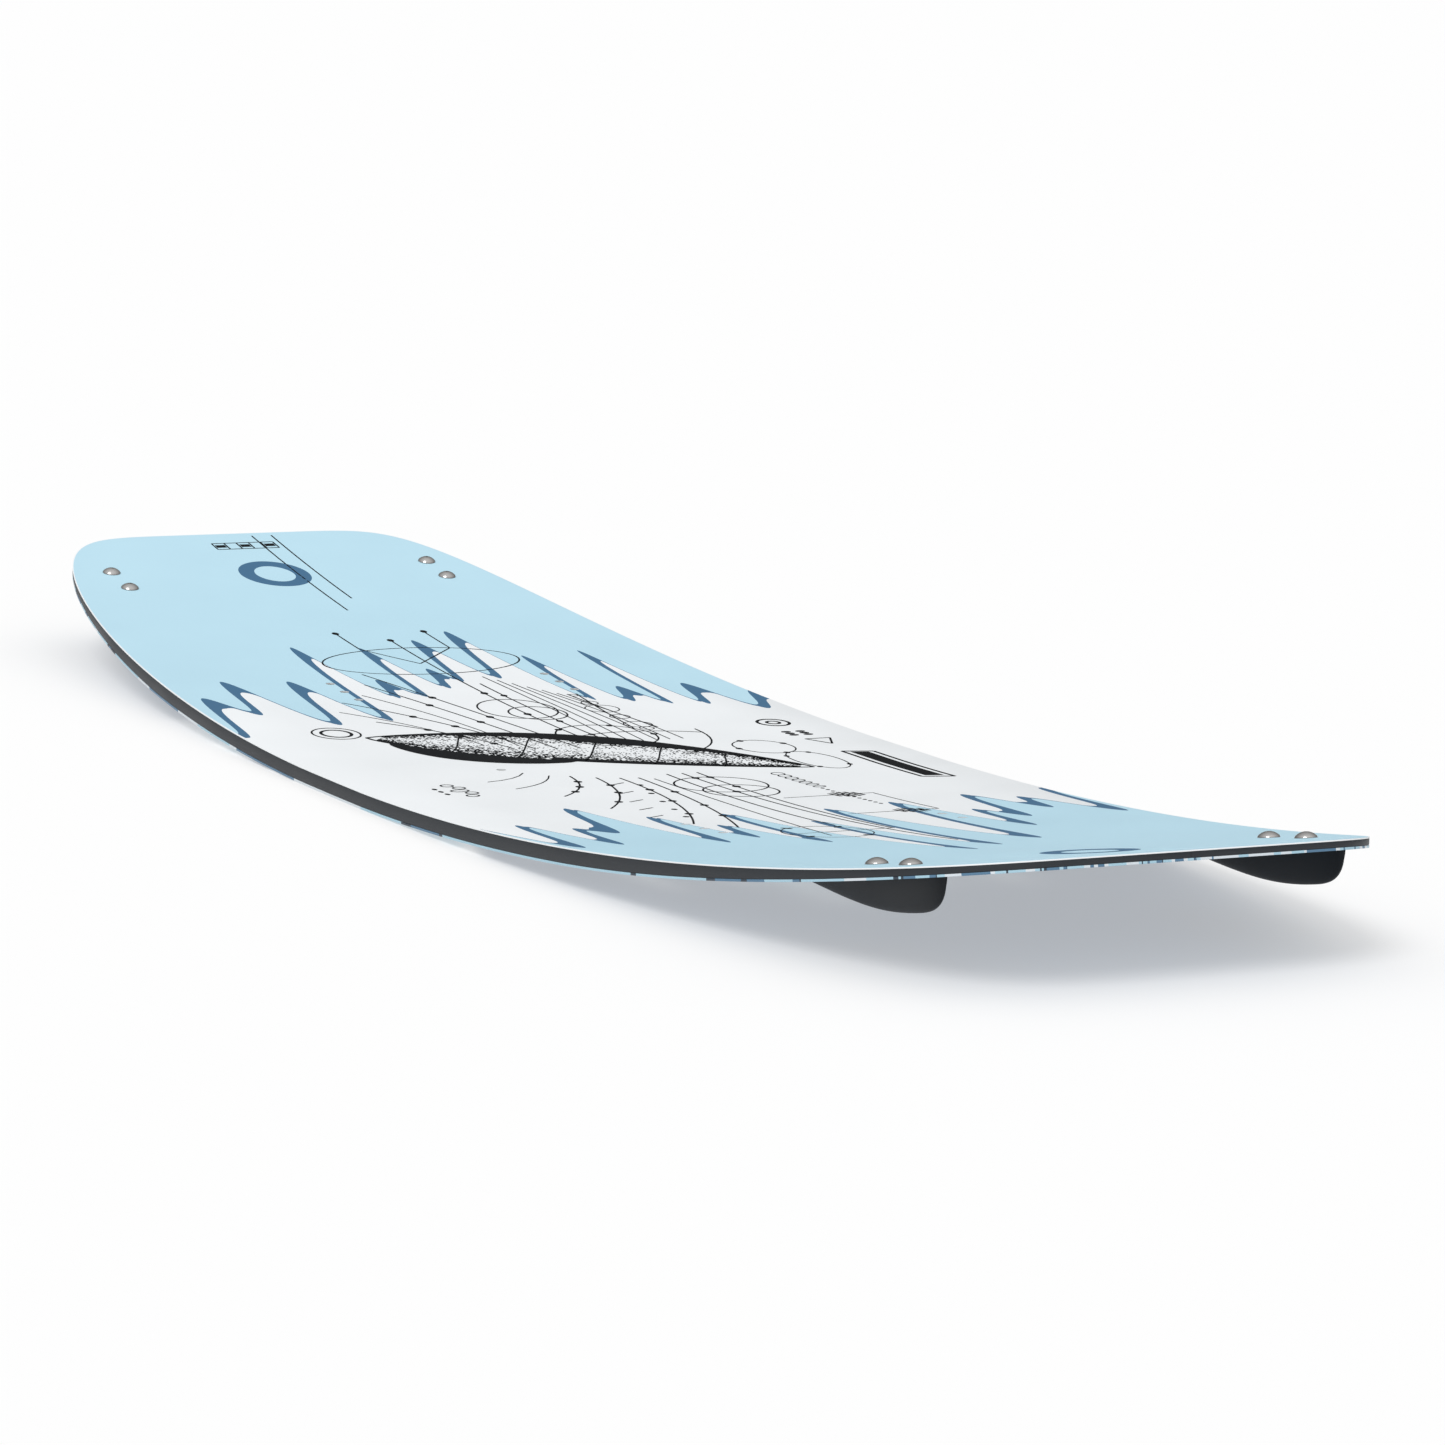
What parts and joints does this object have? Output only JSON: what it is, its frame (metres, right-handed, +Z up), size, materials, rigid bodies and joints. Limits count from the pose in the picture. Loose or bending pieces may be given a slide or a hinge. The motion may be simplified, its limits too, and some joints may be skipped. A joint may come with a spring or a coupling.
{
  "type": "kiteboard",
  "caption": "Twin-tip kiteboard with blunt rounded ends, a curved-up deck, a dark sidewall and low screwed-on fins near the corners.",
  "frame": {"origin": "bottom centre of the board: the middle of the base, its lowest point", "axes": "+X along the board towards its right tip, +Y across it towards the heel rail, +Z up out of the deck"},
  "size_m": [1.38, 0.42, 0.0763],
  "materials": {
    "printed_sheet": "glossy printed polyester sheet, pale blue and white",
    "glass_laminate": "glass fibre in epoxy",
    "paulownia": "planed paulownia strips",
    "sidewall_plastic": "satin charcoal ABS",
    "base_plastic": "glossy printed sheet",
    "fin_plastic": "satin black glass-filled nylon",
    "block_plastic": "plain ABS",
    "stainless": "polished stainless steel",
    "brass": "turned brass"
  },
  "bodies": {
    "board": {"top_sheet": "printed_sheet", "top_laminate": "glass_laminate", "wood_core": "paulownia", "sidewall_toe": "sidewall_plastic", "sidewall_heel": "sidewall_plastic", "bottom_laminate": "glass_laminate", "base_sheet": "base_plastic", "fin_block_left_toe": "block_plastic", "fin_block_left_heel": "block_plastic", "fin_block_right_toe": "block_plastic", "fin_block_right_heel": "block_plastic", "binding_insert_left_toe_1": "stainless", "binding_insert_left_toe_2": "stainless", "binding_insert_left_toe_3": "stainless", "binding_insert_left_heel_1": "stainless", "binding_insert_left_heel_2": "stainless", "binding_insert_left_heel_3": "stainless", "binding_insert_right_toe_1": "stainless", "binding_insert_right_toe_2": "stainless", "binding_insert_right_toe_3": "stainless", "binding_insert_right_heel_1": "stainless", "binding_insert_right_heel_2": "stainless", "binding_insert_right_heel_3": "stainless", "handle_insert_toe": "stainless", "handle_insert_heel": "stainless"},
    "left_toe_fin": {"fin_left_toe": "fin_plastic", "fin_insert_left_toe_1": "brass", "fin_insert_left_toe_2": "brass"},
    "left_toe_screw_1": {"fin_screw_left_toe_1": "stainless"},
    "left_toe_screw_2": {"fin_screw_left_toe_2": "stainless"},
    "left_heel_fin": {"fin_left_heel": "fin_plastic", "fin_insert_left_heel_1": "brass", "fin_insert_left_heel_2": "brass"},
    "left_heel_screw_1": {"fin_screw_left_heel_1": "stainless"},
    "left_heel_screw_2": {"fin_screw_left_heel_2": "stainless"},
    "right_toe_fin": {"fin_right_toe": "fin_plastic", "fin_insert_right_toe_1": "brass", "fin_insert_right_toe_2": "brass"},
    "right_toe_screw_1": {"fin_screw_right_toe_1": "stainless"},
    "right_toe_screw_2": {"fin_screw_right_toe_2": "stainless"},
    "right_heel_fin": {"fin_right_heel": "fin_plastic", "fin_insert_right_heel_1": "brass", "fin_insert_right_heel_2": "brass"},
    "right_heel_screw_1": {"fin_screw_right_heel_1": "stainless"},
    "right_heel_screw_2": {"fin_screw_right_heel_2": "stainless"}
  },
  "joints": [
    {"name": "left_toe_screw_1_turn", "type": "hinge", "parent": "board", "child": "left_toe_screw_1", "pos_m": [-0.571, -0.128, 0.05474], "axis": [0.1669, 0, 0.986], "range_deg": [0, 3601]},
    {"name": "left_toe_screw_2_turn", "type": "hinge", "parent": "board", "child": "left_toe_screw_2", "pos_m": [-0.609, -0.128, 0.06117], "axis": [0.1669, 0, 0.986], "range_deg": [0, 3601]},
    {"name": "left_toe_fin_release", "type": "slide", "parent": "board", "child": "left_toe_fin", "axis": [-0.1669, 0, -0.986], "range_m": [0, 0.01]},
    {"name": "left_heel_screw_1_turn", "type": "hinge", "parent": "board", "child": "left_heel_screw_1", "pos_m": [-0.571, 0.128, 0.05474], "axis": [0.1669, 0, 0.986], "range_deg": [0, 3601]},
    {"name": "left_heel_screw_2_turn", "type": "hinge", "parent": "board", "child": "left_heel_screw_2", "pos_m": [-0.609, 0.128, 0.06117], "axis": [0.1669, 0, 0.986], "range_deg": [0, 3601]},
    {"name": "left_heel_fin_release", "type": "slide", "parent": "board", "child": "left_heel_fin", "axis": [-0.1669, 0, -0.986], "range_m": [0, 0.01]},
    {"name": "right_toe_screw_1_turn", "type": "hinge", "parent": "board", "child": "right_toe_screw_1", "pos_m": [0.571, -0.128, 0.05474], "axis": [-0.1669, 0, 0.986], "range_deg": [0, 3601]},
    {"name": "right_toe_screw_2_turn", "type": "hinge", "parent": "board", "child": "right_toe_screw_2", "pos_m": [0.609, -0.128, 0.06117], "axis": [-0.1669, 0, 0.986], "range_deg": [0, 3601]},
    {"name": "right_toe_fin_release", "type": "slide", "parent": "board", "child": "right_toe_fin", "axis": [0.1669, 0, -0.986], "range_m": [0, 0.01]},
    {"name": "right_heel_screw_1_turn", "type": "hinge", "parent": "board", "child": "right_heel_screw_1", "pos_m": [0.571, 0.128, 0.05474], "axis": [-0.1669, 0, 0.986], "range_deg": [0, 3601]},
    {"name": "right_heel_screw_2_turn", "type": "hinge", "parent": "board", "child": "right_heel_screw_2", "pos_m": [0.609, 0.128, 0.06117], "axis": [-0.1669, 0, 0.986], "range_deg": [0, 3601]},
    {"name": "right_heel_fin_release", "type": "slide", "parent": "board", "child": "right_heel_fin", "axis": [0.1669, 0, -0.986], "range_m": [0, 0.01]}
  ],
  "couplings": [
    {"joint": "left_toe_screw_1_turn", "follows": "left_toe_fin_release", "rad_per_m": 6283.2},
    {"joint": "left_toe_screw_2_turn", "follows": "left_toe_fin_release", "rad_per_m": 6283.2},
    {"joint": "left_heel_screw_1_turn", "follows": "left_heel_fin_release", "rad_per_m": 6283.2},
    {"joint": "left_heel_screw_2_turn", "follows": "left_heel_fin_release", "rad_per_m": 6283.2},
    {"joint": "right_toe_screw_1_turn", "follows": "right_toe_fin_release", "rad_per_m": 6283.2},
    {"joint": "right_toe_screw_2_turn", "follows": "right_toe_fin_release", "rad_per_m": 6283.2},
    {"joint": "right_heel_screw_1_turn", "follows": "right_heel_fin_release", "rad_per_m": 6283.2},
    {"joint": "right_heel_screw_2_turn", "follows": "right_heel_fin_release", "rad_per_m": 6283.2}
  ]
}
